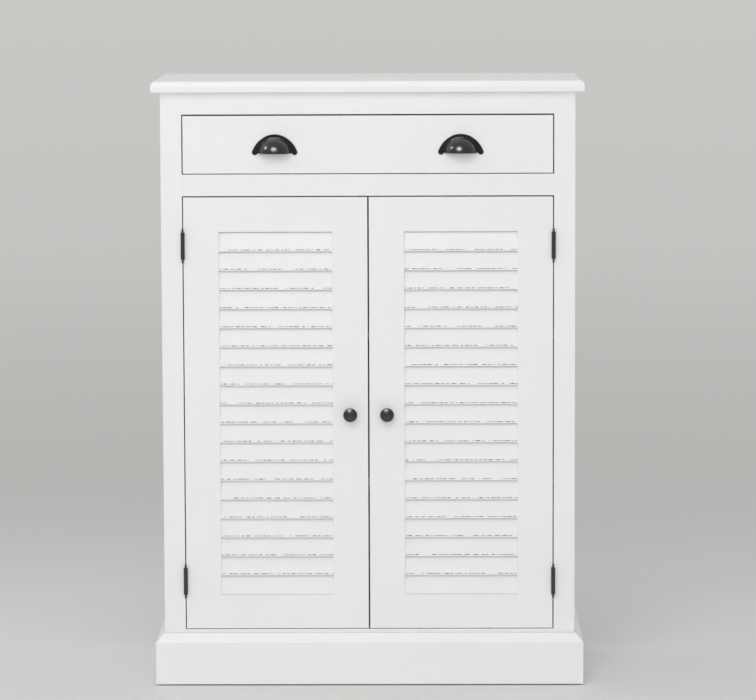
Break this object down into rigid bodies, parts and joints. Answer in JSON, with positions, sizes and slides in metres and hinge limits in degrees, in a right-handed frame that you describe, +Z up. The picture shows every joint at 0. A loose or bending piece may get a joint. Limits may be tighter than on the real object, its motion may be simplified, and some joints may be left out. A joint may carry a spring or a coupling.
{
  "type": "louvred door cabinet",
  "caption": "Free-standing cupboard with a full-width inset drawer above two inset louvred doors, moulded top, bevelled plinth, cup pulls, round knobs and finial hinges.",
  "frame": {"origin": "floor level, centre of the bounding box", "axes": "+X to the right seen from the front, +Y to the back, +Z up"},
  "size_m": [0.8, 0.3714, 1.13],
  "materials": {
    "white_paint": "brushed white paint, satin, rubbed through on edges",
    "bare_wood": "planed pine, unfinished",
    "back_board": "thin hardboard or plywood, unfinished",
    "antique_bronze": "dark antique bronze, satin",
    "black_iron": "black, satin",
    "zinc_steel": "zinc plated",
    "catch_plastic": "off-white moulded plastic"
  },
  "bodies": {
    "cabinet": {"top_board": "white_paint", "left_side_panel": "white_paint", "right_side_panel": "white_paint", "left_face_stile": "white_paint", "right_face_stile": "white_paint", "face_top_rail": "white_paint", "face_middle_rail": "white_paint", "face_bottom_rail": "white_paint", "cabinet_bottom": "white_paint", "drawer_divider": "bare_wood", "back_panel": "back_board", "rear_rails": "bare_wood", "lower_shelf": "white_paint", "upper_shelf": "white_paint", "shelf_pins": "zinc_steel", "plinth_front": "white_paint", "left_plinth_side": "white_paint", "right_plinth_side": "white_paint", "glue_blocks": "bare_wood", "top_cleats": "bare_wood", "left_drawer_runner": "bare_wood", "right_drawer_runner": "bare_wood", "drawer_kickers": "bare_wood", "drawer_stops": "bare_wood", "magnetic_catches": "catch_plastic", "top_board_screws": "zinc_steel", "back_panel_screws": "zinc_steel", "catch_screws": "zinc_steel", "left_hinge_frame_leaves": "black_iron", "right_hinge_frame_leaves": "black_iron", "hinge_frame_screws": "zinc_steel"},
    "drawer": {"drawer_front": "white_paint", "drawer_left_side": "bare_wood", "drawer_right_side": "bare_wood", "drawer_back": "bare_wood", "drawer_bottom": "back_board", "cup_pulls": "antique_bronze", "pull_screws": "zinc_steel"},
    "left_door": {"left_door_hinge_stile": "white_paint", "left_door_meeting_stile": "white_paint", "left_door_bottom_rail": "white_paint", "left_door_top_rail": "white_paint", "left_door_louvres": "white_paint", "left_door_knob": "antique_bronze", "left_knob_screw": "zinc_steel", "left_strike_plate": "zinc_steel", "left_hinge_door_leaves": "black_iron", "left_door_screws": "zinc_steel"},
    "right_door": {"right_door_hinge_stile": "white_paint", "right_door_meeting_stile": "white_paint", "right_door_bottom_rail": "white_paint", "right_door_top_rail": "white_paint", "right_door_louvres": "white_paint", "right_door_knob": "antique_bronze", "right_knob_screw": "zinc_steel", "right_strike_plate": "zinc_steel", "right_hinge_door_leaves": "black_iron", "right_door_screws": "zinc_steel"}
  },
  "joints": [
    {"name": "drawer_slide", "type": "slide", "parent": "cabinet", "child": "drawer", "axis": [0, -1, 0], "range_m": [0, 0.24]},
    {"name": "left_door_hinge", "type": "hinge", "parent": "cabinet", "child": "left_door", "pos_m": [-0.3435, -0.16185, 0.511], "axis": [0, 0, -1], "range_deg": [0, 175]},
    {"name": "right_door_hinge", "type": "hinge", "parent": "cabinet", "child": "right_door", "pos_m": [0.3435, -0.16185, 0.511], "axis": [0, 0, 1], "range_deg": [0, 175]}
  ]
}
